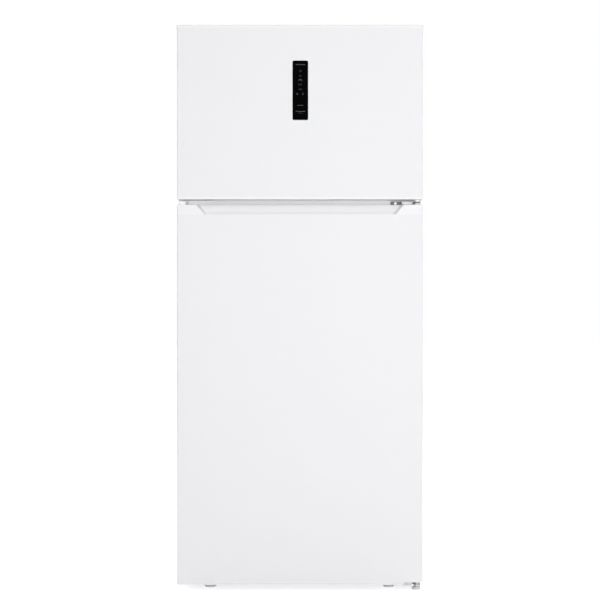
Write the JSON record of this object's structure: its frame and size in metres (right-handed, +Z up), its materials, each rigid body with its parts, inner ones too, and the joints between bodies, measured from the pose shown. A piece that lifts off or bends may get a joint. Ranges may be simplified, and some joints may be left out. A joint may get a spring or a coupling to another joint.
{
  "type": "top freezer refrigerator",
  "caption": "White no-frost refrigerator with a freezer door over a taller fridge door, a recessed handle between them and a small dark control window.",
  "frame": {"origin": "on the floor, under the centre of the whole object's box", "axes": "+Z up, +X to the right seen from the front, the doors face -Y and hinge at +X"},
  "size_m": [0.748, 0.7, 1.72],
  "materials": {
    "door_steel": "satin powder-coated steel",
    "cabinet_steel": "satin powder-coated steel",
    "zinc_steel": "hot-dip galvanised",
    "cap_plastic": "moulded ABS",
    "panel_glass": "polished black acrylic",
    "liner_plastic": "vacuum-formed polystyrene",
    "foam": "rigid polyurethane foam",
    "seal_rubber": "soft magnetic PVC seal",
    "hinge_steel": "zinc-plated pressed steel",
    "bracket_black": "black electrocoated steel",
    "shelf_glass": "toughened glass",
    "trim_plastic": "moulded polystyrene",
    "clear_plastic": "clear polystyrene",
    "ice_tray_plastic": "flexible polypropylene",
    "lamp_diffuser": "opal diffuser",
    "compressor_steel": "black enamelled steel",
    "black_rubber": "moulded rubber",
    "black_plastic": "moulded nylon",
    "copper_pipe": "drawn copper tube",
    "condenser_steel": "black enamelled steel tube",
    "evaporator_aluminium": "rolled aluminium",
    "foot_plastic": "moulded polypropylene"
  },
  "bodies": {
    "root": {"cabinet_shell": "cabinet_steel", "back_panel": "zinc_steel", "bottom_plate": "zinc_steel", "cabinet_foam": "foam", "freezer_liner": "liner_plastic", "fridge_liner": "liner_plastic", "mullion_rail": "cabinet_steel", "base_frame": "zinc_steel", "compressor": "compressor_steel", "compressor_grommets": "black_rubber", "terminal_cover": "black_plastic", "drain_pan": "black_plastic", "refrigerant_pipes": "copper_pipe", "condenser": "condenser_steel", "power_cord_gland": "black_plastic", "top_hinge": "hinge_steel", "top_hinge_cover": "cap_plastic", "middle_hinge": "bracket_black", "middle_hinge_cover": "cap_plastic", "bottom_hinge": "hinge_steel", "hinge_screws": "hinge_steel", "hinge_bushes": "cap_plastic", "shelf_glass": "shelf_glass", "shelf_trims": "trim_plastic", "fridge_air_duct": "liner_plastic", "fridge_lamp": "lamp_diffuser", "evaporator": "evaporator_aluminium", "evaporator_cover": "liner_plastic", "fan_motor": "black_plastic", "ice_maker_frame": "trim_plastic"},
    "freezer_door": {"freezer_door_skin": "door_steel", "control_panel": "panel_glass", "freezer_door_top_cap": "cap_plastic", "freezer_door_bottom_cap": "cap_plastic", "freezer_door_liner": "liner_plastic", "freezer_door_foam": "foam", "freezer_door_gasket": "seal_rubber"},
    "fridge_door": {"fridge_door_skin": "door_steel", "fridge_door_top_cap": "cap_plastic", "fridge_door_bottom_cap": "cap_plastic", "fridge_door_liner": "liner_plastic", "fridge_door_foam": "foam", "fridge_door_gasket": "seal_rubber", "hinge_hole_plug": "cap_plastic"},
    "freezer_bin_upper": {"freezer_bin_upper": "clear_plastic"},
    "freezer_bin_lower": {"freezer_bin_lower": "clear_plastic"},
    "fridge_bin_upper": {"fridge_bin_upper": "clear_plastic"},
    "fridge_bin_middle": {"fridge_bin_middle": "clear_plastic"},
    "bottle_bin": {"bottle_bin": "clear_plastic"},
    "egg_tray": {"egg_tray": "clear_plastic"},
    "crisper_left": {"crisper_left": "clear_plastic"},
    "crisper_right": {"crisper_right": "clear_plastic"},
    "chiller_drawer": {"chiller_drawer": "clear_plastic"},
    "humidity_slider": {"humidity_slider": "trim_plastic"},
    "ice_bin": {"ice_bin": "clear_plastic"},
    "ice_tray": {"ice_tray": "ice_tray_plastic"},
    "evaporator_fan": {"evaporator_fan": "black_plastic"},
    "roller_left": {"roller_left": "black_plastic"},
    "roller_right": {"roller_right": "black_plastic"},
    "foot_left": {"foot_left": "foot_plastic"},
    "foot_right": {"foot_right": "foot_plastic"},
    "hinge_foot": {"hinge_foot": "foot_plastic"}
  },
  "joints": [
    {"name": "freezer_door_hinge", "type": "hinge", "parent": "root", "child": "freezer_door", "pos_m": [0.357, -0.323, 1.445], "axis": [0, 0, 1], "range_deg": [0, 120]},
    {"name": "fridge_door_hinge", "type": "hinge", "parent": "root", "child": "fridge_door", "pos_m": [0.357, -0.323, 0.6], "axis": [0, 0, 1], "range_deg": [0, 120]},
    {"name": "crisper_left_slide", "type": "slide", "parent": "root", "child": "crisper_left", "axis": [0, -1, 0], "range_m": [0, 0.231]},
    {"name": "crisper_right_slide", "type": "slide", "parent": "root", "child": "crisper_right", "axis": [0, -1, 0], "range_m": [0, 0.231]},
    {"name": "chiller_drawer_slide", "type": "slide", "parent": "root", "child": "chiller_drawer", "axis": [0, -1, 0], "range_m": [0, 0.231]},
    {"name": "ice_bin_slide", "type": "slide", "parent": "root", "child": "ice_bin", "axis": [0, -1, 0], "range_m": [0, 0.231]},
    {"name": "humidity_slider_slide", "type": "slide", "parent": "root", "child": "humidity_slider", "axis": [1, 0, 0], "range_m": [-0.018, 0.018]},
    {"name": "ice_tray_twist", "type": "hinge", "parent": "root", "child": "ice_tray", "pos_m": [-0.1825, -0.1612, 1.6067], "axis": [0, -1, 0], "range_deg": [0, 150], "stiffness_Nm_per_rad": 0.08},
    {"name": "evaporator_fan_spin", "type": "hinge", "parent": "root", "child": "evaporator_fan", "pos_m": [0, 0.172, 1.546], "axis": [0, -1, 0], "continuous": true},
    {"name": "roller_left_spin", "type": "hinge", "parent": "root", "child": "roller_left", "pos_m": [-0.3105, 0.28, 0.0175], "axis": [1, 0, 0], "continuous": true},
    {"name": "roller_right_spin", "type": "hinge", "parent": "root", "child": "roller_right", "pos_m": [0.3105, 0.28, 0.0175], "axis": [1, 0, 0], "continuous": true},
    {"name": "foot_left_screw", "type": "slide", "parent": "root", "child": "foot_left", "axis": [0, 0, 1], "range_m": [0, 0.003]},
    {"name": "foot_right_screw", "type": "slide", "parent": "root", "child": "foot_right", "axis": [0, 0, 1], "range_m": [0, 0.003]},
    {"name": "hinge_foot_screw", "type": "slide", "parent": "root", "child": "hinge_foot", "axis": [0, 0, 1], "range_m": [0, 0.003]},
    {"name": "freezer_bin_upper_lift", "type": "slide", "parent": "freezer_door", "child": "freezer_bin_upper", "axis": [0, 0, 1], "range_m": [0, 0.04]},
    {"name": "freezer_bin_lower_lift", "type": "slide", "parent": "freezer_door", "child": "freezer_bin_lower", "axis": [0, 0, 1], "range_m": [0, 0.04]},
    {"name": "fridge_bin_upper_lift", "type": "slide", "parent": "fridge_door", "child": "fridge_bin_upper", "axis": [0, 0, 1], "range_m": [0, 0.04]},
    {"name": "fridge_bin_middle_lift", "type": "slide", "parent": "fridge_door", "child": "fridge_bin_middle", "axis": [0, 0, 1], "range_m": [0, 0.04]},
    {"name": "bottle_bin_lift", "type": "slide", "parent": "fridge_door", "child": "bottle_bin", "axis": [0, 0, 1], "range_m": [0, 0.04]},
    {"name": "egg_tray_lift", "type": "slide", "parent": "fridge_bin_upper", "child": "egg_tray", "axis": [0, 0, 1], "range_m": [0, 0.08]}
  ],
  "couplings": [
    {"joint": "crisper_left_slide", "follows": "fridge_door_hinge", "m_per_rad": 0.11},
    {"joint": "crisper_right_slide", "follows": "fridge_door_hinge", "m_per_rad": 0.11},
    {"joint": "chiller_drawer_slide", "follows": "fridge_door_hinge", "m_per_rad": 0.11},
    {"joint": "ice_bin_slide", "follows": "freezer_door_hinge", "m_per_rad": 0.11}
  ]
}
